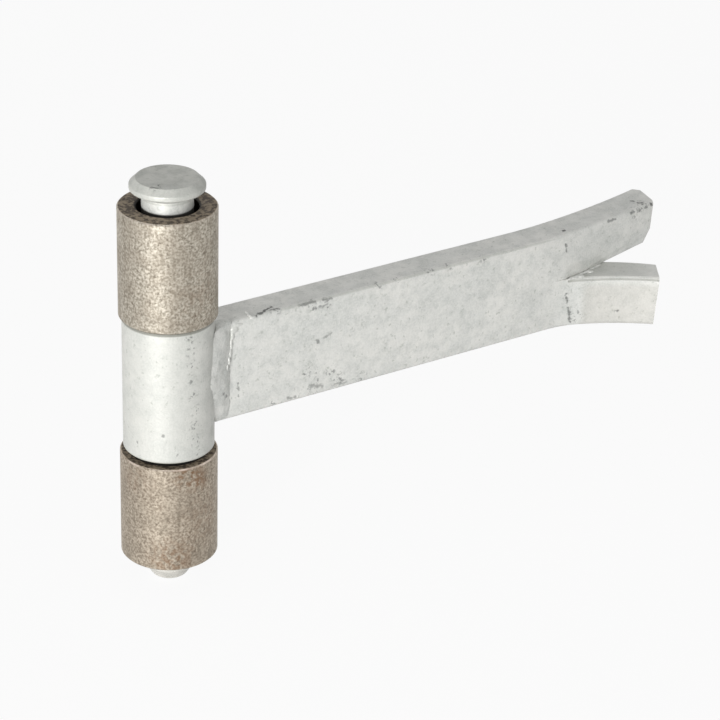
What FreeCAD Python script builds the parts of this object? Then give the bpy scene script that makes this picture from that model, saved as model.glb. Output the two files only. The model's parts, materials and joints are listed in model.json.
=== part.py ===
import FreeCAD, Part
import Sketcher
import os

# A weld-on hinge with an anchor for masonry. A loose headed pin stands in three
# sleeves. The outer two are plain steel and are welded to a gate. The middle one
# carries a flat bar whose far end is split and splayed, to be set in a wall.
#
# Millimetres. The pin's axis is Z, the bar runs along +X, and the origin is the
# centre of the lower sleeve's bottom end.

SIZES = {
    # the three sleeves, from the bottom up
    "outer_sleeve_diameter": 27.0,
    "outer_sleeve_length": 31.9,
    "middle_sleeve_diameter": 25.2,
    "middle_sleeve_length": 39.7,
    "lower_gap": 1.4,
    "bore_diameter": 17.0,
    "bore_mouth_chamfer": 0.4,
    "rim_chamfer": 0.4,
    # the loose pin with its upset head
    "pin_clearance": 1.5,
    "pin_tip_reach": 8.0,
    "pin_tip_taper": 3.5,
    "pin_tip_diameter": 9.4,
    "pin_tip_rounding": 1.8,
    "head_lift": 3.2,
    "head_diameter": 20.5,
    "head_top_diameter": 17.0,
    "head_height": 4.7,
    "head_rim_rise": 1.7,
    "head_rim_width": 1.3,
    "head_rim_rounding": 0.5,
    # the flat bar and the slit that parts its end into two prongs
    "bar_thickness": 11.1,
    "bar_height": 29.8,
    "bar_rise": 0.4,
    "bar_edge_rounding": 1.2,
    "slit_distance": 132.3,
    "slit_width": 0.3,
    "slit_rise": 0.8,
    # the lower prong, bent to the front
    "lower_bend_lead": 5.4,
    "lower_root_radius": 25.0,
    "lower_root_angle": 21.0,
    "lower_tip_radius": 74.0,
    "lower_tip_angle": 18.6,
    "lower_end_lean": 0.9,
    "lower_end_skew": 1.2,
    "lower_end_thinning": 1.3,
    "lower_edge_bevel": 1.0,
    # the upper prong, bent to the back
    "upper_bend_lead": 18.0,
    "upper_slit_lead": 2.7,
    "upper_root_radius": 168.0,
    "upper_root_angle": 6.0,
    "upper_tip_radius": 270.0,
    "upper_tip_angle": 7.6,
    "upper_end_lean": 2.5,
    "nose_reach": 3.7,
    "nose_back_reach": 2.2,
    "nose_back_width": 3.1,
    "shear_bevel_lead": 3.6,
    "shear_bevel_height": 6.2,
    "shear_bevel_depth": 2.7,
    "shear_bevel_start": 0.3,
    # the two weld beads, narrow on the sleeve at the foot, wide in the belly
    "weld_foot_leg": 1.4,
    "weld_belly_leg": 4.7,
    "weld_top_leg": 3.4,
    "weld_bar_leg": 3.6,
    "weld_root_width": 3.6,
    "weld_foot_rise": 1.2,
    "weld_belly_rise": 16.0,
    "weld_sink": 0.05,
}

# Places and radii that follow from the sizes.
PLACES = {
    "outer_radius": "sizes.outer_sleeve_diameter / 2",
    "middle_radius": "sizes.middle_sleeve_diameter / 2",
    "bore_radius": "sizes.bore_diameter / 2",
    "lower_bottom": "0",
    "lower_top": "sizes.outer_sleeve_length",
    "middle_bottom": "lower_top + sizes.lower_gap",
    "middle_top": "middle_bottom + sizes.middle_sleeve_length",
    "upper_top": "middle_top + sizes.outer_sleeve_length",
    "pin_radius": "bore_radius - sizes.pin_clearance",
    "tip_radius": "sizes.pin_tip_diameter / 2",
    "tip_bottom": "-sizes.pin_tip_reach",
    "taper_top": "tip_bottom + sizes.pin_tip_taper",
    "head_bottom": "upper_top + sizes.head_lift",
    "head_top": "head_bottom + sizes.head_height",
    "head_radius": "sizes.head_diameter / 2",
    "head_top_radius": "sizes.head_top_diameter / 2",
    "rim_bottom": "head_bottom + sizes.head_rim_rise",
    "rim_top": "rim_bottom + sizes.head_rim_width",
    "bar_back": "sizes.bar_thickness / 2",
    "bar_front": "-bar_back",
    "bar_start": "middle_radius",
    "bar_middle": "(middle_bottom + middle_top) / 2 + sizes.bar_rise",
    "bar_bottom": "bar_middle - sizes.bar_height / 2",
    "bar_top": "bar_middle + sizes.bar_height / 2",
    "slit_middle": "bar_middle + sizes.slit_rise",
    "slit_bottom": "slit_middle - sizes.slit_width / 2",
    "slit_top": "slit_middle + sizes.slit_width / 2",
}


def add_prong(name, side, lead, root_radius, bend, short="0"):
    """Places of a prong's outline in plan. Its inner face is the one on the side that it bends to,
    -1 for the front and 1 for the back. Each face is an arc at the root and a wider one to the tip,
    and the inner one ends a little short at the end's lower edge."""
    turn = f"sizes.{bend}_root_angle"
    thick = "sizes.bar_thickness"
    tip_radius = f"sizes.{bend}_tip_radius"
    full = f"({turn} + sizes.{bend}_tip_angle - {short} / {tip_radius} * 180 / pi)"
    PLACES[f"{name}_end_angle"] = full
    PLACES[f"{name}_start_x"] = f"sizes.slit_distance - {lead}"
    PLACES[f"{name}_inner_start_y"] = f"{side} * {thick} / 2"
    PLACES[f"{name}_outer_start_y"] = f"{-side} * {thick} / 2"
    PLACES[f"{name}_inner_root_radius"] = root_radius
    PLACES[f"{name}_outer_root_radius"] = f"{root_radius} + {thick}"
    PLACES[f"{name}_inner_tip_radius"] = tip_radius
    PLACES[f"{name}_root_centre_y"] = f"{side} * ({thick} / 2 + {root_radius})"
    PLACES[f"{name}_tip_centre_x"] = f"{name}_start_x + ({root_radius} - {tip_radius}) * sin({turn})"
    PLACES[f"{name}_tip_centre_y"] = (
        f"{name}_root_centre_y - {side} * ({root_radius} - {tip_radius}) * cos({turn})"
    )
    for face in ("inner", "outer"):
        arc = f"{name}_{face}"
        PLACES[f"{arc}_turn_x"] = f"{name}_start_x + {arc}_root_radius * sin({turn})"
        PLACES[f"{arc}_turn_y"] = f"{name}_root_centre_y - {side} * {arc}_root_radius * cos({turn})"
    PLACES[f"{name}_inner_end_x"] = f"{name}_tip_centre_x + {tip_radius} * sin({full})"
    PLACES[f"{name}_inner_end_y"] = f"{name}_tip_centre_y - {side} * {tip_radius} * cos({full})"


def draw_in_end(name):
    """End the lower prong's outer face drawn in, short of the inner face and nearer to it. Its arc
    still leaves the root's arc without a kink."""
    turn = "sizes.lower_root_angle"
    end = f"({name}_end_angle - sizes.lower_end_skew / sizes.lower_tip_radius * 180 / pi)"
    radius = "(sizes.lower_tip_radius + sizes.bar_thickness - sizes.lower_end_thinning)"
    PLACES[f"{name}_outer_end_x"] = f"{name}_tip_centre_x + {radius} * sin({end})"
    PLACES[f"{name}_outer_end_y"] = f"{name}_tip_centre_y + {radius} * cos({end})"
    along = f"({name}_outer_end_x - {name}_outer_turn_x)"
    across = f"({name}_outer_end_y - {name}_outer_turn_y)"
    inward = f"(-1 * ({along} * sin({turn}) + {across} * cos({turn})))"
    PLACES[f"{name}_outer_tip_radius"] = f"({along} ^ 2 + {across} ^ 2) / (2 * {inward})"


def add_nose(name):
    """End the upper prong's outer face square to the inner one, with a nose beyond. The nose's corners
    lie out from the square end and across from the prong's front face."""
    full = f"{name}_end_angle"
    radius = f"{name}_outer_tip_radius"
    PLACES[radius] = "sizes.upper_tip_radius + sizes.bar_thickness"
    PLACES[f"{name}_outer_end_x"] = f"{name}_tip_centre_x + {radius} * sin({full})"
    PLACES[f"{name}_outer_end_y"] = f"{name}_tip_centre_y - {radius} * cos({full})"
    point_width = "(sizes.bar_thickness - sizes.nose_back_width)"
    for corner, reach, width in (
        ("point", "sizes.nose_reach", point_width),
        ("back", "sizes.nose_back_reach", "sizes.bar_thickness"),
    ):
        PLACES[f"{name}_{corner}_x"] = f"{name}_outer_end_x + {reach} * cos({full}) - {width} * sin({full})"
        PLACES[f"{name}_{corner}_y"] = f"{name}_outer_end_y + {reach} * sin({full}) + {width} * cos({full})"


low_radius = "sizes.lower_root_radius"
high_radius = "sizes.upper_root_radius"
slit_radius = "sizes.upper_root_radius * sizes.upper_slit_lead / sizes.upper_bend_lead"
add_prong("lower", -1, "sizes.lower_bend_lead", low_radius, "lower")
add_prong("lower_at_base", -1, "sizes.lower_bend_lead", low_radius, "lower", "sizes.lower_end_lean")
add_prong("upper", 1, "sizes.upper_bend_lead", high_radius, "upper")
add_prong("upper_at_slit", 1, "sizes.upper_slit_lead", slit_radius, "upper", "sizes.upper_end_lean")
draw_in_end("lower")
draw_in_end("lower_at_base")
add_nose("upper")
add_nose("upper_at_slit")

# The shear bevel runs under the upper prong from near the slit's root to past its nose.
PLACES["bevel_root_x"] = "sizes.slit_distance + sizes.shear_bevel_lead"
PLACES["bevel_end_x"] = "upper_point_x + 1"
PLACES["bevel_outside"] = "lower_inner_end_y"
PLACES["bevel_root_inner"] = "bar_front + sizes.shear_bevel_start"
PLACES["bevel_root_top"] = "slit_top + sizes.shear_bevel_start"
PLACES["bevel_end_front"] = "upper_outer_end_y"
PLACES["bevel_end_inner"] = "bevel_end_front + sizes.shear_bevel_depth"
PLACES["bevel_end_top"] = "slit_top + sizes.shear_bevel_height"

# The weld beads fill the corners between the middle sleeve and the bar's square end. Their sections
# reach into the sleeve's wall, and the toe lies a little way in.
WELD_LEVELS = {"weld_foot": "weld_foot_height", "weld_belly": "weld_belly_height", "weld_top": "bar_top"}
PLACES["weld_foot_height"] = "bar_bottom + sizes.weld_foot_rise"
PLACES["weld_belly_height"] = "bar_bottom + sizes.weld_belly_rise"
PLACES["weld_root_x"] = "(bore_radius + middle_radius) / 2"
PLACES["weld_root_y"] = "sizes.weld_root_width / 2"
PLACES["weld_bar_x"] = "bar_start + sizes.weld_bar_leg"
PLACES["weld_toe_radius"] = "middle_radius - sizes.weld_sink"
for level in WELD_LEVELS:
    PLACES[f"{level}_toe_y"] = f"bar_back + sizes.{level}_leg"
    PLACES[f"{level}_toe_x"] = f"sqrt(weld_toe_radius ^ 2 - {level}_toe_y ^ 2)"

doc = FreeCAD.newDocument("weld_on_hinge")


def fill_sheet(name, cells, mark):
    """A sheet with each name in column A and its value or formula in column B."""
    sheet = doc.addObject("Spreadsheet::Sheet", name)
    for row, (alias, content) in enumerate(cells.items(), start=1):
        sheet.set(f"A{row}", alias)
        sheet.set(f"B{row}", mark + str(content))
        sheet.setAlias(f"B{row}", alias)
    doc.recompute()
    return sheet


sizes = fill_sheet("sizes", SIZES, "")
places = fill_sheet("places", PLACES, "=")


def link(name):
    """The expression for a size or a place, with its sign."""
    bare = name.lstrip("-")
    owner = "sizes" if bare in SIZES else "places"
    return name.replace(bare, f"{owner}.{bare}")


def read(name):
    """The present value of a size or a place, with its sign."""
    bare = name.lstrip("-")
    sheet = sizes if bare in SIZES else places
    value = float(sheet.get(bare))
    return -value if name.startswith("-") else value


def near(value, name):
    """Whether a coordinate or a radius equals a named one."""
    tolerance = 1e-4
    return abs(value - read(name)) < tolerance


def new_sketch(body, name, role, offset=None):
    """A sketch on one of the body's own origin planes, or parallel to it at a named offset."""
    plane = next(part for part in body.Origin.OriginFeatures if part.Role == role)
    sketch = body.newObject("Sketcher::SketchObject", name)
    sketch.AttachmentSupport = [(plane, "")]
    sketch.MapMode = "FlatFace"
    if offset:
        sketch.setExpression("AttachmentOffset.Base.z", link(offset))
    return sketch


def fix_point(sketch, edge, end, corner):
    """Hold one end of an edge at a corner; None stands for the sketch's own axis."""
    for kind, name, axis in (("DistanceX", corner[0], -2), ("DistanceY", corner[1], -1)):
        if name is None:
            sketch.addConstraint(Sketcher.Constraint("PointOnObject", edge, end, axis))
            continue
        row = sketch.addConstraint(Sketcher.Constraint(kind, -1, 1, edge, end, read(name)))
        sketch.setExpression(f"Constraints[{row}]", link(name))


def arc_between(start, stop, radius, turns_left):
    """The short arc from start to stop, turning to the left or to the right."""
    chord = stop - start
    across = FreeCAD.Vector(-chord.y, chord.x, 0).normalize()
    side = 1 if turns_left else -1
    depth = (radius ** 2 - (chord.Length / 2) ** 2) ** 0.5
    centre = start + chord / 2 + across * side * depth
    return Part.Arc(start, centre - across * side * radius, stop)


def draw_outline(sketch, corners, arcs=None):
    """A closed outline through the corners. An arc is named by its first corner's index, and given
    by its radius and whether it turns to the left."""
    arcs = arcs or {}
    points = []
    for across, up in corners:
        points.append(FreeCAD.Vector(read(across) if across else 0, read(up) if up else 0, 0))
    ends = []
    for index, start in enumerate(points):
        stop = points[(index + 1) % len(points)]
        radius, turns_left = arcs.get(index, (None, True))
        edge = arc_between(start, stop, read(radius), turns_left) if radius else Part.LineSegment(start, stop)
        sketch.addGeometry(edge, False)
        ends.append((1, 2) if turns_left else (2, 1))
    for index, corner in enumerate(corners):
        first, last = ends[index]
        following = (index + 1) % len(corners)
        join = Sketcher.Constraint("Coincident", index, last, following, ends[following][0])
        sketch.addConstraint(join)
        fix_point(sketch, index, first, corner)
    for index, (radius, _) in arcs.items():
        row = sketch.addConstraint(Sketcher.Constraint("Radius", index, read(radius)))
        sketch.setExpression(f"Constraints[{row}]", link(radius))


def revolve(body, sketch):
    """A full turn of the sketch about the pin's axis."""
    turned = body.newObject("PartDesign::Revolution", body.Name + "_turned")
    turned.Profile = sketch
    turned.ReferenceAxis = (sketch, ["V_Axis"])
    turned.Angle = 360
    doc.recompute()
    return turned


def pad(body, sketch, low, high):
    """A pad of the sketch, as thick as from one named height to another."""
    block = body.newObject("PartDesign::Pad", sketch.Name + "_pad")
    block.Profile = sketch
    block.setExpression("Length", f"{link(high)} - {link(low)}")
    doc.recompute()
    return block


def loft(body, kind, first, *others):
    """A straight-sided loft from sketch to sketch, added or taken away."""
    blend = body.newObject(f"PartDesign::{kind}", first.Name + "_loft")
    blend.Profile = first
    blend.Sections = list(others)
    blend.Ruled = True
    doc.recompute()
    return blend


def dress(body, kind, test, size):
    """A chamfer or a fillet on those of the body's edges that pass a test, its size a named one."""
    feature = body.Tip
    edges = [f"Edge{index}" for index, edge in enumerate(feature.Shape.Edges, start=1) if test(edge)]
    dressed = body.newObject(f"PartDesign::{kind}", f"{body.Name}_{size}")
    dressed.Base = (feature, edges)
    dressed.setExpression("Radius" if kind == "Fillet" else "Size", link(size))
    doc.recompute()
    return dressed


def on_circle(*radii):
    """A test for edges that are arcs or circles of one of the named radii."""
    return lambda edge: hasattr(edge.Curve, "Radius") and any(near(edge.Curve.Radius, r) for r in radii)


def make_sleeve(name, radius, bottom, top):
    """A length of thick tube, its rims and the mouths of its bore chamfered."""
    body = doc.addObject("PartDesign::Body", name)
    wall = new_sketch(body, name + "_wall", "XZ_Plane")
    draw_outline(wall, [("bore_radius", bottom), (radius, bottom), (radius, top), ("bore_radius", top)])
    revolve(body, wall)
    dress(body, "Chamfer", on_circle(radius), "rim_chamfer")
    dress(body, "Chamfer", on_circle("bore_radius"), "bore_mouth_chamfer")
    return body


def make_pin():
    """The loose pin: a round shank with a tapered tip, and a head upset from the same bar."""
    body = doc.addObject("PartDesign::Body", "hinge_pin")
    half = new_sketch(body, "pin_half", "XZ_Plane")
    draw_outline(
        half,
        [
            (None, "tip_bottom"),
            ("tip_radius", "tip_bottom"),
            ("pin_radius", "taper_top"),
            ("pin_radius", "head_bottom"),
            ("head_radius", "rim_bottom"),
            ("head_radius", "rim_top"),
            ("head_top_radius", "head_top"),
            (None, "head_top"),
        ],
    )
    revolve(body, half)
    dress(body, "Fillet", on_circle("tip_radius"), "pin_tip_rounding")
    dress(body, "Fillet", on_circle("head_radius"), "head_rim_rounding")
    return body


def upper_outline(sketch, name):
    """The bar's upper half in plan, with its prong and nose."""
    draw_outline(
        sketch,
        [
            ("bar_start", f"{name}_outer_start_y"),
            (f"{name}_start_x", f"{name}_outer_start_y"),
            (f"{name}_outer_turn_x", f"{name}_outer_turn_y"),
            (f"{name}_outer_end_x", f"{name}_outer_end_y"),
            (f"{name}_point_x", f"{name}_point_y"),
            (f"{name}_back_x", f"{name}_back_y"),
            (f"{name}_inner_end_x", f"{name}_inner_end_y"),
            (f"{name}_inner_turn_x", f"{name}_inner_turn_y"),
            (f"{name}_start_x", f"{name}_inner_start_y"),
            ("bar_start", f"{name}_inner_start_y"),
        ],
        {
            1: (f"{name}_outer_root_radius", True),
            2: (f"{name}_outer_tip_radius", True),
            6: (f"{name}_inner_tip_radius", False),
            7: (f"{name}_inner_root_radius", False),
        },
    )


def lower_outline(sketch, name):
    """The bar's lower half in plan, with its prong."""
    draw_outline(
        sketch,
        [
            ("bar_start", f"{name}_inner_start_y"),
            (f"{name}_start_x", f"{name}_inner_start_y"),
            (f"{name}_inner_turn_x", f"{name}_inner_turn_y"),
            (f"{name}_inner_end_x", f"{name}_inner_end_y"),
            (f"{name}_outer_end_x", f"{name}_outer_end_y"),
            (f"{name}_outer_turn_x", f"{name}_outer_turn_y"),
            (f"{name}_start_x", f"{name}_outer_start_y"),
            ("bar_start", f"{name}_outer_start_y"),
        ],
        {
            1: (f"{name}_inner_root_radius", False),
            2: (f"{name}_inner_tip_radius", False),
            4: (f"{name}_outer_tip_radius", True),
            5: (f"{name}_outer_root_radius", True),
        },
    )


def make_bar():
    """The flat bar, split near mid-height from the slit's root outwards. The lower half bends to the
    front, and the upper half sweeps to the back from further in at its top than at the slit."""
    body = doc.addObject("PartDesign::Body", "anchor_bar")
    halves = (
        ("lower_half", lower_outline, ("lower_at_base", "bar_bottom"), ("lower", "slit_middle")),
        ("upper_half", upper_outline, ("upper_at_slit", "slit_middle"), ("upper", "bar_top")),
    )
    for name, outline, low, high in halves:
        plans = []
        for level, (plan, height) in (("base", low), ("top", high)):
            sketch = new_sketch(body, f"{name}_{level}", "XY_Plane", height)
            outline(sketch, plan)
            plans.append(sketch)
        loft(body, "AdditiveLoft", *plans)
    dress(body, "Fillet", is_long_edge, "bar_edge_rounding")
    cut_slit(body)
    dress(body, "Chamfer", is_sheared_edge, "lower_edge_bevel")
    cut_shear_bevel(body)
    return body


def is_long_edge(edge):
    """Whether an edge runs along the bar or a prong at the bar's top or bottom."""
    box = edge.BoundBox
    at_top = near(box.ZMin, "bar_top") and near(box.ZMax, "bar_top")
    at_bottom = near(box.ZMin, "bar_bottom") and near(box.ZMax, "bar_bottom")
    return (at_top or at_bottom) and box.XLength > box.YLength and box.XLength > read("nose_reach")


def is_sheared_edge(edge):
    """Whether an edge is the front one along the top of the lower prong."""
    box = edge.BoundBox
    level = near(box.ZMin, "slit_bottom") and near(box.ZMax, "slit_bottom")
    return level and on_circle("lower_inner_root_radius", "lower_inner_tip_radius")(edge)


def cut_slit(body):
    """The shear cut that parts the two prongs."""
    slit = new_sketch(body, "slit", "XZ_Plane")
    draw_outline(
        slit,
        [
            ("slit_distance", "slit_bottom"),
            ("bevel_end_x", "slit_bottom"),
            ("bevel_end_x", "slit_top"),
            ("slit_distance", "slit_top"),
        ],
    )
    cut = body.newObject("PartDesign::Pocket", "slit_cut")
    cut.Profile = slit
    cut.Type = "ThroughAll"
    cut.Midplane = True
    doc.recompute()


def cut_shear_bevel(body):
    """The rolled lower edge of the upper prong, which grows from the slit's root to the nose."""
    at_root = new_sketch(body, "bevel_at_root", "YZ_Plane", "bevel_root_x")
    draw_outline(
        at_root,
        [
            ("bevel_outside", "slit_middle"),
            ("bevel_root_inner", "slit_middle"),
            ("bevel_root_inner", "slit_top"),
            ("bar_front", "bevel_root_top"),
            ("bevel_outside", "bevel_root_top"),
        ],
    )
    at_end = new_sketch(body, "bevel_at_end", "YZ_Plane", "bevel_end_x")
    draw_outline(
        at_end,
        [
            ("bevel_outside", "slit_middle"),
            ("bevel_end_inner", "slit_middle"),
            ("bevel_end_inner", "slit_top"),
            ("bevel_end_front", "bevel_end_top"),
            ("bevel_outside", "bevel_end_top"),
        ],
    )
    loft(body, "SubtractiveLoft", at_root, at_end)


def make_weld(name, sign):
    """A fillet weld up one side of the bar's end. Its toe on the sleeve bellies out from a narrow foot,
    and its back is trimmed to the sleeve's wall."""
    body = doc.addObject("PartDesign::Body", name)
    sections = []
    for level, height in WELD_LEVELS.items():
        section = new_sketch(body, f"{name}_{level}", "XY_Plane", height)
        draw_outline(
            section,
            [
                ("weld_root_x", sign + "weld_root_y"),
                ("bar_start", sign + "weld_root_y"),
                ("bar_start", sign + "bar_back"),
                ("weld_bar_x", sign + "bar_back"),
                (f"{level}_toe_x", sign + f"{level}_toe_y"),
            ],
        )
        sections.append(section)
    loft(body, "AdditiveLoft", *sections)
    wall = new_sketch(body, name + "_sleeve_wall", "XZ_Plane")
    draw_outline(
        wall,
        [
            (None, "middle_bottom"),
            ("middle_radius", "middle_bottom"),
            ("middle_radius", "middle_top"),
            (None, "middle_top"),
        ],
    )
    trim = body.newObject("PartDesign::Groove", name + "_trim")
    trim.Profile = wall
    trim.ReferenceAxis = (wall, ["V_Axis"])
    trim.Angle = 360
    doc.recompute()
    return body


BODIES = [
    make_sleeve("lower_sleeve", "outer_radius", "lower_bottom", "lower_top"),
    make_sleeve("middle_sleeve", "middle_radius", "middle_bottom", "middle_top"),
    make_sleeve("upper_sleeve", "outer_radius", "middle_top", "upper_top"),
    make_pin(),
    make_bar(),
    make_weld("front_weld", "-"),
    make_weld("back_weld", ""),
]
doc.recompute()

for item in doc.Objects:
    if "Invalid" in item.State or "Error" in item.State:
        raise RuntimeError(f"{item.Name} failed: {item.State}")
os.makedirs("parts", exist_ok=True)
for body in BODIES:
    if body.Shape.isNull() or not body.Shape.isValid() or len(body.Shape.Solids) != 1:
        raise RuntimeError(f"{body.Label} isn't one valid solid")
for body in BODIES:
    print(body.Label, round(body.Shape.Volume, 1))
    body.Shape.exportStep(f"parts/{body.Label}.step")
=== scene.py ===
import json
import math

import bpy
from mathutils import Matrix, Vector

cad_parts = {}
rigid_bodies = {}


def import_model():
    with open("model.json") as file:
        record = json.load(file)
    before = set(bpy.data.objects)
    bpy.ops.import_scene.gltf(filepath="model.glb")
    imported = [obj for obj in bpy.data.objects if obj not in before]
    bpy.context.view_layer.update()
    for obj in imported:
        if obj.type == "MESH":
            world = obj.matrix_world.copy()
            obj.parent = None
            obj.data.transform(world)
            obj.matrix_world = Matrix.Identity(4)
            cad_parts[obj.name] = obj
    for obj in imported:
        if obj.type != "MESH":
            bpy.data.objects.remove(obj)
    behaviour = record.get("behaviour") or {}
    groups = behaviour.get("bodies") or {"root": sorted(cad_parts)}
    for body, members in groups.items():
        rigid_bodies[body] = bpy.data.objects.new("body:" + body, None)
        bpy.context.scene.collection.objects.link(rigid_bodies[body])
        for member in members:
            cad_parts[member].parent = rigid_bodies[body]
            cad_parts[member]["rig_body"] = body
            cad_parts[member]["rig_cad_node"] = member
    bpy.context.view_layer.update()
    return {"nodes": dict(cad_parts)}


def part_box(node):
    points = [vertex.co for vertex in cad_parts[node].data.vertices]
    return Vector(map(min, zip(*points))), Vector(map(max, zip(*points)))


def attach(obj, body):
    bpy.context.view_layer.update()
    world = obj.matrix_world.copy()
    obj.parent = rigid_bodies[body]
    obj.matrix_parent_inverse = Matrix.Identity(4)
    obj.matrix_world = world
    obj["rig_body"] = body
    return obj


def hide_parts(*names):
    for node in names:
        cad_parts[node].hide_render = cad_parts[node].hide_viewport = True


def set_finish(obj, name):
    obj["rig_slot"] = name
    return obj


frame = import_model()
nodes = frame["nodes"]

# Middle sleeve: a short length of steel tube that holds the wall side of the hinge on the pin.
# It is welded to the flat bar and hot-dip galvanised with it, so its zinc is dull, pale grey
# and faintly clouded, with small dark pores down the side next to the weld.


class Signal:
    """A value that varies over a surface. Sums and products of signals add their own nodes."""

    def __init__(self, socket):
        self.socket = socket

    def node(self, kind, settings, inputs, output=0):
        """Adds a node of this kind with its settings and sockets. Gives one of its outputs."""
        made = self.socket.id_data.nodes.new(kind)
        for name, value in settings.items():
            setattr(made, name, value)
        feed(made, inputs)
        return Signal(made.outputs[output])

    def maths(self, operation, first, second):
        """Joins two signals or numbers by one operation."""
        return self.node("ShaderNodeMath", {"operation": operation}, {"Value": first, "Value_001": second})

    def __add__(self, other):
        return self.maths("ADD", self, other)

    __radd__ = __add__

    def __sub__(self, other):
        return self.maths("SUBTRACT", self, other)

    def __rsub__(self, other):
        return self.maths("SUBTRACT", other, self)

    def __mul__(self, other):
        return self.maths("MULTIPLY", self, other)

    __rmul__ = __mul__

    def most(self, other):
        """The greater of two signals."""
        return self.maths("MAXIMUM", self, other)

    def rise(self, start, end):
        """Grows softly from 0 at start to 1 at end, or falls where the end comes first."""
        return self.node("ShaderNodeMapRange", {"interpolation_type": "SMOOTHSTEP"},
                         {"Value": self, "From Min": start, "From Max": end})

    def grain(self, scale, detail, stretch=(1.0, 1.0, 1.0)):
        """Noise over the surface, with features about one metre over the scale across."""
        where = self.node("ShaderNodeVectorMath", {"operation": "MULTIPLY"},
                          {"Vector": self, "Vector_001": stretch})
        return self.node("ShaderNodeTexNoise", {}, {"Vector": where, "Scale": scale, "Detail": detail})

    def away_from(self, point):
        """Distance from a point on the piece."""
        return self.node("ShaderNodeVectorMath", {"operation": "DISTANCE"},
                         {"Vector": self, "Vector_001": point}, 1)

    def away_from_line(self, start, end):
        """Distance from a straight line between two points on the piece."""
        span = Vector(end) - Vector(start)
        offset = self.node("ShaderNodeVectorMath", {"operation": "SUBTRACT"},
                           {"Vector": self, "Vector_001": start})
        along = offset.node("ShaderNodeVectorMath", {"operation": "DOT_PRODUCT"},
                            {"Vector": offset, "Vector_001": span / span.length_squared}, 1)
        share = along.node("ShaderNodeClamp", {}, {"Value": along})
        foot = share.node("ShaderNodeVectorMath", {"operation": "SCALE"},
                          {"Vector": span, "Scale": share})
        return offset.node("ShaderNodeVectorMath", {"operation": "DISTANCE"},
                           {"Vector": offset, "Vector_001": foot}, 1)

    def within(self, low, high, edge):
        """1 inside the box between two corners, and fading to 0 over a narrow edge round it."""
        share = 1.0
        for axis in range(3):
            along = self.node("ShaderNodeSeparateXYZ", {}, {"Vector": self}, axis)
            inside = along.rise(low[axis] - edge, low[axis]) * along.rise(high[axis] + edge, high[axis])
            share = inside * share
        return share

    def tint(self, below, above):
        """Mixes from one colour to the other as this signal goes from 0 to 1."""
        return self.node("ShaderNodeMix", {"data_type": "RGBA"},
                         {"Factor_Float": self, "A_Color": below, "B_Color": above}, 2)


def feed(node, inputs):
    """Sets the sockets of a node to values, or links them to signals."""
    sockets = {socket.identifier: socket for socket in node.inputs}
    for name, value in inputs.items():
        if isinstance(value, Signal):
            node.id_data.links.new(value.socket, sockets[name])
        else:
            sockets[name].default_value = value


def new_finish(name):
    """Starts a finish. Gives its material and the place on the piece as a signal."""
    material = bpy.data.materials.new(name)
    material.use_nodes = True
    where = material.node_tree.nodes.new("ShaderNodeTexCoord").outputs["Object"]
    return material, Signal(where)


def galvanised(name, mottle, stains_and_painted_light, marks, porous):
    """Hot-dip zinc, mottled more or less. Stains, among them painted shade and painted light, are boxes
    (low corner, high corner, soft edge, amount, colour), marks are dark lines (start, end, width, amount),
    among them painted shade in creases, and porous are pitted zones (centre, radius)."""
    material, place = new_finish(name)
    clouds = place.grain(75.0, 3.0).rise(0.32, 0.70)
    patches = place.grain(330.0, 5.0).rise(0.34, 0.66)
    streaks = place.grain(260.0, 3.0, (0.35, 1.0, 1.0)).rise(0.42, 0.70)
    grain = place.grain(1900.0, 4.0).rise(0.32, 0.70)
    specks = place.grain(820.0, 3.0).rise(0.60, 0.76)
    zinc = clouds.tint((0.610, 0.620, 0.592, 1.0), (0.700, 0.698, 0.662, 1.0))
    zinc = (patches * mottle).tint(zinc, (0.500, 0.515, 0.490, 1.0))
    zinc = (streaks * 0.40).tint(zinc, (0.740, 0.735, 0.700, 1.0))
    zinc = (grain * 0.42).tint(zinc, (0.800, 0.795, 0.765, 1.0))
    zinc = (specks * 0.50).tint(zinc, (0.360, 0.385, 0.335, 1.0))
    for low, high, edge, amount, colour in stains_and_painted_light:
        zinc = (place.within(low, high, edge) * amount).tint(zinc, colour)
    wobble = (place.grain(1100.0, 2.0) - 0.5) * 0.0018
    pores_and_shade = specks * 0.06
    for centre, radius in porous:
        zone = place.away_from(centre).rise(radius, radius * 0.30)
        pores_and_shade = pores_and_shade.most(place.grain(1150.0, 2.0).rise(0.54, 0.66) * zone * 0.62)
    # marks: dark lines, some of them painted shade in creases
    for start, end, width, amount in marks:
        gap = place.away_from_line(start, end) + wobble
        pores_and_shade = pores_and_shade.most(gap.rise(width, width * 0.10) * amount)
    colour = pores_and_shade.tint(zinc, (0.095, 0.100, 0.095, 1.0))
    waves = place.grain(170.0, 2.0) * 0.00016 + place.grain(620.0, 3.0) * 0.00008
    height = waves + grain * 0.000014 - pores_and_shade * 0.00005
    bump = place.node("ShaderNodeBump", {}, {"Strength": 1.0, "Distance": 1.0, "Height": height})
    feed(material.node_tree.nodes["Principled BSDF"], {
        "Base Color": colour,
        "Metallic": 0.30 - pores_and_shade * 0.30,
        "Roughness": 0.46 + patches * 0.12 + pores_and_shade * 0.25,
        "Normal": bump,
    })
    return material


def finish_node(node, material, slot):
    """Gives a node of the solid model its finish."""
    nodes[node].material_slots[0].material = material
    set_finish(nodes[node], slot)


dull_and_shade_grey = (0.330, 0.335, 0.290, 1.0)

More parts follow.
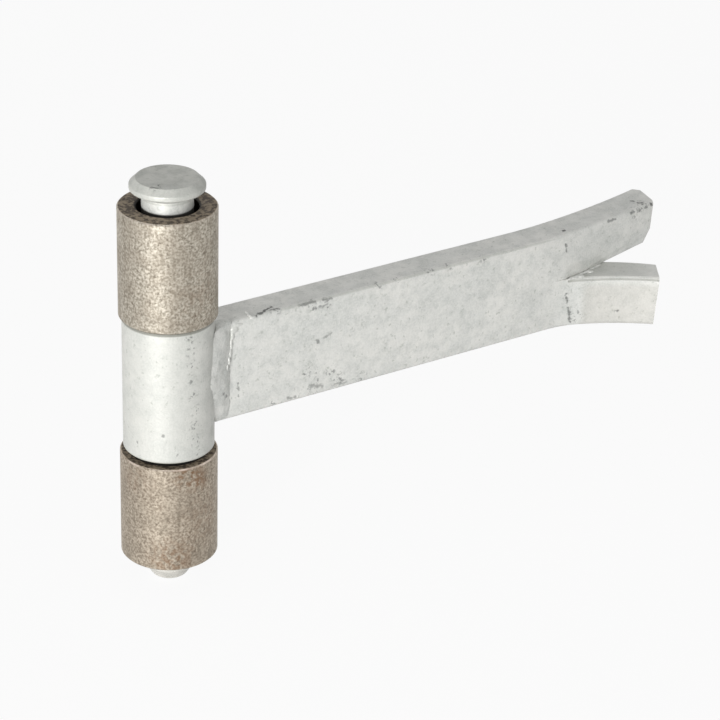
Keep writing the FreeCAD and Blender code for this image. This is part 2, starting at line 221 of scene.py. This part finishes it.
middle_zinc = galvanised("zinc_of_middle_sleeve", 0.45,
    # stains: the whole sleeve is a shade duller than the bar, and more so at its foot; the dark band at
    # its top end is painted shade under the upper sleeve
    [((-0.0200, -0.0200, 0.0300), (0.0200, 0.0200, 0.0800), 0.0001, 0.26, dull_and_shade_grey),
     # painted shade: a dark band at the top end, in the shadow under the upper sleeve
     ((-0.0200, -0.0200, 0.0722), (0.0200, 0.0200, 0.0800), 0.0005, 0.80, (0.180, 0.180, 0.150, 1.0)),
     ((-0.0200, -0.0200, 0.0300), (0.0200, 0.0200, 0.0334), 0.0010, 0.45, dull_and_shade_grey)],
    # marks: three dark spots near the foot
    [((-0.0120, -0.0037, 0.0383), (-0.0120, -0.0037, 0.0386), 0.0006, 0.70),
     ((-0.0075, -0.0101, 0.0421), (-0.0073, -0.0103, 0.0421), 0.0005, 0.55),
     ((-0.0040, -0.0120, 0.0361), (-0.0038, -0.0121, 0.0361), 0.0005, 0.55)],
    # pitted zones: a column of them next to the weld
    [((-0.0005, -0.0126, 0.0704), 0.0022),
     ((-0.0002, -0.0126, 0.0668), 0.0024),
     ((0.0001, -0.0126, 0.0628), 0.0022),
     ((0.0004, -0.0126, 0.0582), 0.0022),
     ((0.0007, -0.0126, 0.0536), 0.0024),
     ((0.0010, -0.0126, 0.0489), 0.0026),
     ((0.0014, -0.0125, 0.0440), 0.0030),
     ((0.0016, -0.0125, 0.0396), 0.0028),
     ((0.0022, -0.0125, 0.0360), 0.0024)])
finish_node("middle_sleeve", middle_zinc, "galvanised_steel")

# Anchor bar: a flat steel bar, sheared to length and split at its far end. The two prongs are
# bent apart, the lower to the front and the upper to the back, so that the bar holds in masonry.
# It is galvanised after bending, and the zinc leaves dark pores along its edges and at the bends.

bar_zinc = galvanised("zinc_of_anchor_bar", 0.60,
    # stains, first on the lower prong: its whole front, and two lines along the sheared edge at its top
    [((0.1385, -0.0400, 0.0300), (0.1800, -0.0050, 0.0505), 0.00300, 0.30, (0.420, 0.390, 0.340, 1.0)),
     ((0.1325, -0.0400, 0.0533), (0.1800, -0.0050, 0.0536), 0.00015, 0.45, dull_and_shade_grey),
     ((0.1345, -0.0400, 0.0540), (0.1800, -0.0050, 0.0541), 0.00010, 0.35, dull_and_shade_grey),
     # its top face, lightened as painted light
     ((0.1400, -0.0400, 0.0542), (0.1800, 0.0000, 0.0544), 0.00010, 0.35, (0.850, 0.850, 0.820, 1.0)),
     # the upper prong: painted shade on the zone over the slit that the bending drew down
     ((0.1330, -0.0060, 0.0546), (0.1460, 0.0000, 0.0575), 0.00150, 0.18, dull_and_shade_grey),
     # the two long edges of the front
     ((0.0170, -0.0060, 0.0380), (0.1330, -0.0040, 0.0391), 0.00030, 0.35, (0.300, 0.280, 0.240, 1.0)),
     ((0.0330, -0.0060, 0.0680), (0.1330, -0.0050, 0.0690), 0.00030, 0.30, dull_and_shade_grey)],
    # marks, first along the top edge: a crack in the zinc, with short marks and dots beyond it
    [((0.0236, -0.0053, 0.0680), (0.0272, -0.0042, 0.0684), 0.0006, 0.80),
     ((0.0272, -0.0042, 0.0684), (0.0309, -0.0027, 0.0684), 0.0006, 0.85),
     ((0.0300, -0.0042, 0.0684), (0.0322, -0.0046, 0.0684), 0.0007, 0.75),
     ((0.0385, -0.0053, 0.0680), (0.0440, -0.0052, 0.0681), 0.0006, 0.55),
     ((0.0465, -0.0053, 0.0680), (0.0492, -0.0054, 0.0678), 0.0006, 0.55),
     ((0.0431, -0.0056, 0.0662), (0.0439, -0.0056, 0.0660), 0.0007, 0.70),
     ((0.0452, -0.0056, 0.0662), (0.0476, -0.0056, 0.0663), 0.0006, 0.55),
     ((0.0441, -0.0056, 0.0562), (0.0451, -0.0056, 0.0552), 0.0007, 0.60),
     ((0.0469, -0.0056, 0.0562), (0.0492, -0.0056, 0.0571), 0.0007, 0.45),
     # the bend: short marks down the front
     ((0.1322, -0.0022, 0.0685), (0.1329, -0.0020, 0.0685), 0.0007, 0.90),
     ((0.1316, -0.0050, 0.0652), (0.1319, -0.0051, 0.0630), 0.0006, 0.70),
     ((0.1319, -0.0061, 0.0493), (0.1326, -0.0062, 0.0469), 0.0006, 0.75),
     ((0.1330, -0.0063, 0.0448), (0.1337, -0.0065, 0.0404), 0.0007, 0.75),
     ((0.1491, -0.0024, 0.0680), (0.1521, -0.0019, 0.0678), 0.0006, 0.60),
     ((0.1464, -0.0123, 0.0431), (0.1468, -0.0126, 0.0431), 0.0006, 0.70),
     # pits near the end of the upper prong
     ((0.1686, 0.0016, 0.0678), (0.1688, 0.0018, 0.0676), 0.0009, 0.85),
     ((0.1640, 0.0050, 0.0685), (0.1643, 0.0049, 0.0685), 0.0009, 0.80),
     ((0.1649, 0.0029, 0.0685), (0.1657, 0.0026, 0.0685), 0.0008, 0.75),
     ((0.1655, 0.0012, 0.0674), (0.1667, 0.0012, 0.0672), 0.0007, 0.75),
     ((0.1620, 0.0003, 0.0674), (0.1632, 0.0005, 0.0673), 0.0007, 0.70),
     ((0.1595, -0.0003, 0.0676), (0.1604, -0.0001, 0.0675), 0.0007, 0.70),
     # beside the weld's foot
     ((0.0188, -0.0056, 0.0492), (0.0189, -0.0056, 0.0470), 0.0005, 0.60),
     ((0.0190, -0.0056, 0.0456), (0.0190, -0.0056, 0.0452), 0.0005, 0.60),
     # the lower edge of the front
     ((0.0352, -0.0056, 0.0403), (0.0375, -0.0056, 0.0400), 0.0007, 0.50),
     ((0.0425, -0.0056, 0.0422), (0.0465, -0.0056, 0.0412), 0.0009, 0.50),
     ((0.0509, -0.0056, 0.0405), (0.0543, -0.0056, 0.0402), 0.0006, 0.45)],
    # pitted zones: along the top edge, low on the front, at the bend and near the upper prong's end
    [((0.0310, -0.0044, 0.0684), 0.0028),
     ((0.0430, -0.0054, 0.0670), 0.0030),
     ((0.0475, -0.0054, 0.0665), 0.0026),
     ((0.0649, -0.0050, 0.0683), 0.0022),
     ((0.0709, -0.0052, 0.0683), 0.0020),
     ((0.0826, -0.0047, 0.0684), 0.0024),
     ((0.0895, -0.0048, 0.0684), 0.0022),
     ((0.1010, -0.0052, 0.0682), 0.0022),
     ((0.0407, -0.0056, 0.0461), 0.0020),
     ((0.0430, -0.0056, 0.0465), 0.0030),
     ((0.0491, -0.0056, 0.0446), 0.0030),
     ((0.0440, -0.0056, 0.0420), 0.0040),
     ((0.0520, -0.0056, 0.0415), 0.0034),
     ((0.0300, -0.0056, 0.0405), 0.0024),
     ((0.0600, -0.0056, 0.0405), 0.0026),
     ((0.1320, -0.0060, 0.0480), 0.0024),
     ((0.1355, -0.0070, 0.0420), 0.0032),
     ((0.1620, -0.0005, 0.0674), 0.0036),
     ((0.1650, 0.0014, 0.0680), 0.0034)])
finish_node("anchor_bar", bar_zinc, "galvanised_steel")

# Weld beads: a bead of weld metal down each side of the bar joins it to the sleeve.
# They are laid by hand before galvanising, so their faces are uneven, and the zinc on them is
# smooth, with a dark line of painted shade in the crease along the bar.

weld_zinc = galvanised("zinc_of_welds", 0.75, [],
    # marks: painted shade in the crease along the bar, and a fold near the foot, where one zone is pitted
    [((0.0162, -0.0058, 0.0600), (0.0164, -0.0057, 0.0520), 0.0006, 0.40),
     ((0.0164, -0.0057, 0.0520), (0.0162, -0.0057, 0.0440), 0.0006, 0.35),
     ((0.0112, -0.0080, 0.0506), (0.0145, -0.0064, 0.0467), 0.0006, 0.65)],
    [((0.0130, -0.0062, 0.0480), 0.0020)])


def melt_together(piece, name, voxel, roughness):
    """Turns a mesh of overlapping lumps into one skin, unevens it and lets it run smooth."""
    piece.name = name
    remesh = piece.modifiers.new("fine_skin", "REMESH")
    remesh.mode = "VOXEL"
    remesh.voxel_size = voxel
    bpy.ops.object.modifier_apply(modifier=remesh.name)
    lumps = bpy.data.textures.new(name + "_lumps", "CLOUDS")
    lumps.noise_scale = 0.0040
    lumps.noise_depth = 2
    displace = piece.modifiers.new("lumps", "DISPLACE")
    displace.texture = lumps
    displace.texture_coords = "LOCAL"
    displace.strength = roughness
    displace.mid_level = 0.40
    bpy.ops.object.modifier_apply(modifier=displace.name)
    smooth = piece.modifiers.new("melted", "SMOOTH")
    smooth.factor = 0.5
    smooth.iterations = 6
    bpy.ops.object.modifier_apply(modifier=smooth.name)
    bpy.ops.object.shade_smooth()
    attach(piece, "wall_anchor")
    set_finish(piece, "galvanised_steel")


def add_lump(place, size, turn=0.0):
    """A rounded lump of metal, as long, wide and high as its size, turned about the upright."""
    bpy.ops.mesh.primitive_ico_sphere_add(subdivisions=4, radius=0.5, location=place,
                                          rotation=(0.0, 0.0, turn))
    lump = bpy.context.object
    lump.scale = size
    bpy.ops.object.transform_apply(location=True, rotation=True, scale=True)
    return lump


sleeve_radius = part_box("middle_sleeve")[1].x
half_bar = 0.00555  # half the bar's thickness
leg_on_bar = 0.0036  # how far a bead reaches from the sleeve along the bar
sunk = 0.0006  # how deep the middle of each ripple lies in the plain weld


def lay_bead(node, name, side):
    """Lays a bead over the plain weld solid, in flat ripples and over the bar's top edge, and shows
    it in the solid's place. The side is -1 at the front of the bar and 1 at the back."""
    # a copy of the solid with its mesh closed, which the ripples are joined to
    bpy.ops.object.select_all(action="DESELECT")
    bead = nodes[node].copy()
    bead.data = nodes[node].data.copy()
    bead.parent = None
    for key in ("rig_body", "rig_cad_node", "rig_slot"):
        if key in bead:
            del bead[key]
    bpy.context.scene.collection.objects.link(bead)
    bead.select_set(True)
    bpy.context.view_layer.objects.active = bead
    bpy.ops.object.mode_set(mode="EDIT")
    bpy.ops.mesh.select_all(action="SELECT")
    bpy.ops.mesh.remove_doubles(threshold=0.00001)
    bpy.ops.object.mode_set(mode="OBJECT")
    foot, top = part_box(node)[0].z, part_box(node)[1].z
    ripples = 7
    lumps = []
    for count in range(ripples):
        share = (count + 0.5) / ripples
        # the leg along the sleeve grows from the foot to the belly, and shrinks again to the top
        toe_y = half_bar + min(0.0014 + 0.0064 * share, 0.0060 - 0.0026 * share)
        toe = Vector((math.sqrt(sleeve_radius ** 2 - toe_y ** 2), side * toe_y))
        edge = Vector((sleeve_radius + leg_on_bar, side * half_bar))
        across = edge - toe
        middle = (toe + edge) / 2 + side * across.orthogonal().normalized() * -sunk
        height = foot + 0.0024 + (top - foot - 0.0050) * share
        # long across the corner, thin, and high enough to run into the next ripple
        size = (across.length * 1.28, 0.0021, 0.0068)
        lumps.append(add_lump((middle.x, middle.y, height), size, math.atan2(across.y, across.x)))
    # the last lump lies over the bar's top edge
    lumps.append(add_lump((0.0140, side * 0.0040, top - 0.0006), (0.0070, 0.0042, 0.0024)))
    for lump in lumps:
        lump.select_set(True)
    bead.select_set(True)
    bpy.context.view_layer.objects.active = bead
    bpy.ops.object.join()
    melt_together(bead, name, voxel=0.00030, roughness=0.0006)
    bead.data.materials.clear()
    bead.data.materials.append(weld_zinc)
    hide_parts(node)


lay_bead("front_weld", "front_bead", -1.0)
lay_bead("back_weld", "back_bead", 1.0)

# Zinc runs: where the part was hung to drain, the zinc ran together before it set. One run goes
# down the front bead, a ridge fills the root of the split, and a burr stands on the bar's top.

run_zinc = galvanised("zinc_of_runs", 0.60,
    # one stain: the run on the bead is a little duller
    [((0.0100, -0.0200, 0.0500), (0.0250, 0.0200, 0.0680), 0.00010, 0.15, dull_and_shade_grey)], [], [])


def set_run(name, turn, drops):
    """One run of zinc through drops (place, size), all turned about the upright by the same degrees."""
    bpy.ops.object.select_all(action="DESELECT")
    lumps = [add_lump(place, size, math.radians(turn)) for place, size in drops]
    for lump in lumps:
        lump.select_set(True)
    bpy.ops.object.join()
    run = bpy.context.object
    melt_together(run, name, voxel=0.00016, roughness=0.0002)
    run.data.materials.append(run_zinc)


set_run("run_on_front_bead", 0.0, [
    ((0.0188, -0.0053, 0.0671), (0.0036, 0.0009, 0.0011)),
    ((0.0176, -0.0054, 0.0660), (0.0026, 0.0010, 0.0022)),
    ((0.0169, -0.0055, 0.0642), (0.0014, 0.0009, 0.0026)),
    ((0.0164, -0.0056, 0.0618), (0.0010, 0.0009, 0.0034)),
    ((0.0160, -0.0058, 0.0593), (0.0011, 0.0009, 0.0030)),
    ((0.0154, -0.0062, 0.0572), (0.0009, 0.0009, 0.0026)),
    ((0.0147, -0.0065, 0.0556), (0.0007, 0.0008, 0.0022)),
])
# the ridge leans with the prongs, which part from each other here
set_run("ridge_in_split", 17.0, [
    ((0.1338, -0.0058, 0.0543), (0.0040, 0.0009, 0.0009)),
    ((0.1358, -0.0057, 0.0543), (0.0040, 0.0012, 0.0010)),
    ((0.1374, -0.0058, 0.0542), (0.0024, 0.0020, 0.0007)),
    ((0.1380, -0.0051, 0.0543), (0.0044, 0.0011, 0.0010)),
    ((0.1404, -0.0045, 0.0543), (0.0044, 0.0012, 0.0010)),
    ((0.1418, -0.0047, 0.0542), (0.0022, 0.0020, 0.0007)),
    ((0.1430, -0.0036, 0.0543), (0.0044, 0.0011, 0.0009)),
    ((0.1456, -0.0028, 0.0543), (0.0044, 0.0010, 0.0008)),
])
set_run("burr_on_bar", 0.0, [
    ((0.0233, -0.0027, 0.0685), (0.0008, 0.0022, 0.0005)),
    ((0.0230, -0.0043, 0.0684), (0.0010, 0.0020, 0.0007)),
    ((0.0236, -0.0052, 0.0681), (0.0022, 0.0010, 0.0008)),
])

# Lower sleeve: a short length of steel tube with its ends cut square, loose on the pin.
# It is welded to the gate, so it is left without zinc, and its mill skin is finely speckled
# brown, with light rust below the top lip and low on the front.


def raw_steel(name, dark, light, low, high, shade_radius, lip_highlight, rust):
    """Bare mill steel, speckled from dark to light. Low and high are the heights of the tube's ends.
    Inside the given radius from the axis it is painted black, as painted shade in the bore and on the end
    face under the part above, and its top lip gets a painted highlight by the given share. Rust are zones
    (centre, radius, amount)."""
    material, place = new_finish(name)
    speckle = place.grain(1500.0, 6.0).rise(0.30, 0.70)
    dots = place.grain(900.0, 5.0).rise(0.58, 0.70)
    clouds = place.grain(210.0, 4.0).rise(0.36, 0.66)
    streaks = place.grain(520.0, 3.0, (1.0, 1.0, 0.20)).rise(0.50, 0.70)
    skin = speckle.tint(dark, light)
    skin = (clouds * 0.38).tint(skin, (0.285, 0.245, 0.195, 1.0))
    skin = (streaks * 0.40).tint(skin, (0.195, 0.165, 0.125, 1.0))
    skin = (dots * 0.55).tint(skin, (0.135, 0.108, 0.078, 1.0))
    ragged = place.grain(640.0, 5.0).rise(0.40, 0.58)
    for centre, radius, amount in rust:
        zone = place.away_from(centre).rise(radius, 0.0) * amount
        skin = (zone * ragged).tint(skin, (0.200, 0.112, 0.058, 1.0))
    height = place.node("ShaderNodeSeparateXYZ", {}, {"Vector": place}, 2)
    from_axis = place.away_from_line((0.0, 0.0, -1.0), (0.0, 0.0, 1.0))
    # painted highlight: the outer rim of the top lip, pale where its chamfer catches the light
    lip = height.rise(high - 0.00045, high - 0.00035) * from_axis.rise(0.0125, 0.0130) * clouds * lip_highlight
    skin = lip.tint(skin, (0.860, 0.740, 0.660, 1.0))
    ends = height.rise(low + 0.00008, low + 0.00002).most(height.rise(high - 0.00008, high - 0.00002))
    cut = place.grain(900.0, 5.0).rise(0.40, 0.60)
    cut = cut.tint((0.065, 0.048, 0.032, 1.0), (0.330, 0.265, 0.190, 1.0))
    skin = (ends * 0.96).tint(skin, cut)
    # painted shade: black inside the given radius, in the bore and on the end face hidden under the part
    # above
    skin = (from_axis.rise(shade_radius, shade_radius - 0.0005) * 0.95).tint(skin, (0.012, 0.010, 0.008, 1.0))
    roughness = 0.53 + clouds * 0.06 + dots * 0.10 + ends * 0.15
    bumps = speckle * 0.000010 - dots * 0.000020 + clouds * 0.00005
    bump = place.node("ShaderNodeBump", {}, {"Strength": 1.0, "Distance": 1.0, "Height": bumps})
    feed(material.node_tree.nodes["Principled BSDF"], {
        "Base Color": skin,
        "Metallic": 0.85 - ends * 0.75,
        "Roughness": roughness,
        "Normal": bump,
    })
    return material


lower_skin = raw_steel(
    "bare_steel_of_lower_sleeve",
    dark=(0.225, 0.184, 0.140, 1.0),
    light=(0.520, 0.455, 0.370, 1.0),
    low=0.0,
    high=0.0319,
    # painted black shade inside this radius, in the bore and under the middle sleeve; a painted highlight
    # on the top lip
    shade_radius=0.0113,
    lip_highlight=0.60,
    rust=[
        ((-0.0015, -0.0134, 0.0298), 0.0066, 0.85),
        ((0.0020, -0.0133, 0.0270), 0.0050, 0.70),
        ((-0.0060, -0.0120, 0.0035), 0.0100, 0.60),
        ((0.0040, -0.0128, 0.0150), 0.0130, 0.25),
        ((-0.0125, -0.0040, 0.0270), 0.0080, 0.25),
    ])
finish_node("lower_sleeve", lower_skin, "raw_steel")

# Upper sleeve: the same tube as the lower one, put on the pin from above.
# Its skin is cleaner, with only a trace of rust.

upper_skin = raw_steel(
    "bare_steel_of_upper_sleeve",
    dark=(0.240, 0.212, 0.168, 1.0),
    light=(0.565, 0.522, 0.446, 1.0),
    low=0.0730,
    high=0.1049,
    # painted black shade inside this radius, in the bore's mouth; a painted highlight on the top lip
    shade_radius=0.0092,
    lip_highlight=0.15,
    rust=[((0.0020, -0.0133, 0.0830), 0.0120, 0.20)])
finish_node("upper_sleeve", upper_skin, "raw_steel")

# Hinge pin: a round bar with an upset head and a tapered tip, dropped through the sleeves.
# It is galvanised and loose, and can be lifted out. The head's top is a duller grey.

pin_zinc = galvanised("zinc_of_pin", 1.00,
    # stains: the head; a painted shadow line under its rim; the shank, darkened as painted shade inside
    # the sleeves; painted black shade where it enters the upper sleeve's mouth; the tip
    [((-0.0200, -0.0200, 0.1092), (0.0200, 0.0200, 0.1140), 0.0006, 0.42, dull_and_shade_grey),
     # painted shadow: a thin dark line on the neck under the head's rim
     ((-0.0200, -0.0200, 0.1075), (0.0200, 0.0200, 0.1078), 0.0003, 0.35, dull_and_shade_grey),
     # painted shade: the shank darker inside the sleeves and in the gaps between them
     ((-0.0200, -0.0200, 0.0010), (0.0200, 0.0200, 0.1040), 0.0010, 0.35, (0.240, 0.220, 0.180, 1.0)),
     # painted shade: black where the pin goes down into the upper sleeve's mouth
     ((-0.0200, -0.0200, 0.1022), (0.0200, 0.0200, 0.1046), 0.0005, 0.92, (0.030, 0.027, 0.022, 1.0)),
     ((-0.0200, -0.0200, -0.0090), (0.0200, 0.0200, 0.0005), 0.0005, 0.32, (0.400, 0.350, 0.280, 1.0))],
    # a short mark and a pitted zone on the head's top
    [((-0.0072, -0.0040, 0.1128), (-0.0060, -0.0052, 0.1128), 0.0005, 0.50)],
    [((-0.0060, -0.0040, 0.1128), 0.0030)])
finish_node("hinge_pin", pin_zinc, "galvanised_steel")

# Floor: a wide pale sheet under the tip of the pin. It shows nearly white, and keeps the
# soft shadow of the hinge.

bpy.ops.object.select_all(action="DESELECT")
bpy.ops.mesh.primitive_circle_add(vertices=96, radius=4.0, fill_type="NGON",
                                  location=(0.0, 0.0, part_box("hinge_pin")[0].z - 0.0001))
floor = bpy.context.object
floor.name = "floor"
bpy.ops.object.transform_apply(location=True, rotation=True, scale=True)
floor_paint = bpy.data.materials.new("pale_floor")
floor_paint.use_nodes = True
paint = floor_paint.node_tree.nodes["Principled BSDF"]
feed(paint, {"Base Color": (0.86, 0.86, 0.86, 1.0), "Roughness": 0.9})


def seen(tree):
    """1 on rays that show the background: those of the camera and those seen in metal."""
    path = tree.nodes.new("ShaderNodeLightPath")
    camera, glossy, through = (Signal(path.outputs[name])
                               for name in ("Is Camera Ray", "Is Glossy Ray", "Is Transmission Ray"))
    return camera.most(glossy).most(through)


shown = seen(floor_paint.node_tree)
glow = shown.node("ShaderNodeEmission", {}, {"Color": (1.0, 1.0, 1.0, 1.0), "Strength": 1.0})
mixed = shown.node("ShaderNodeMixShader", {}, {"Fac": shown * 0.92, "Shader": Signal(paint.outputs[0]),
                                               "Shader_001": glow})
feed(floor_paint.node_tree.nodes["Material Output"], {"Surface": mixed})
floor.data.materials.append(floor_paint)

# Light: a white studio. The room gives an even light, and a square lamp to the left of the
# camera and lower than it brightens the left of the sleeves.

room = bpy.data.worlds.new("studio")
bpy.context.scene.world = room
room.use_nodes = True
shown = seen(room.node_tree)
feed(room.node_tree.nodes["Background"], {
    "Color": (1.0, 1.0, 1.0, 1.0),
    "Strength": 0.40 + shown * 0.60,
})


def direction(azimuth, elevation):
    """Points away from the hinge, turned from the front by the azimuth, both angles in degrees."""
    turn, lift = math.radians(azimuth), math.radians(elevation)
    return Vector((math.sin(turn) * math.cos(lift), -math.cos(turn) * math.cos(lift), math.sin(lift)))


middle_of_hinge = Vector((0.05, 0.0, 0.05))
to_lamp = direction(-54.0, 6.0)
bpy.ops.object.light_add(type="AREA", location=middle_of_hinge + to_lamp)
lamp = bpy.context.object
lamp.name = "key_lamp"
lamp.data.size = 0.28
lamp.data.energy = 9.0
lamp.rotation_mode = "QUATERNION"
lamp.rotation_quaternion = (-to_lamp).to_track_quat("-Z", "Y")

# Camera: a long lens in front and to the left, looking down at the hinge. Its place, turn, roll
# and length were found by fitting it to the photograph.

azimuth, elevation, roll = -34.19037, 26.89415, math.radians(1.75951)
back = direction(azimuth, elevation)
level = direction(azimuth + 90.0, 0.0)
upright = back.cross(level)
right = math.cos(roll) * level + math.sin(roll) * upright
up = math.cos(roll) * upright - math.sin(roll) * level
bpy.ops.object.camera_add()
camera = bpy.context.object
camera.name = "camera"
camera.matrix_world = Matrix.Translation((-0.319942, -0.563865, 0.388216)) @ Matrix(
    (right, up, back)).transposed().to_4x4()
camera.data.sensor_width = 36.0
camera.data.lens = 133.3687
# half a pixel, from a pixel's corner to its middle
half_pixel = 0.5 / 720
camera.data.shift_x = -half_pixel
camera.data.shift_y = half_pixel
camera.data.clip_start = 0.01
camera.data.clip_end = 100.0
bpy.context.scene.camera = camera
bpy.context.scene.view_settings.view_transform = "Standard"
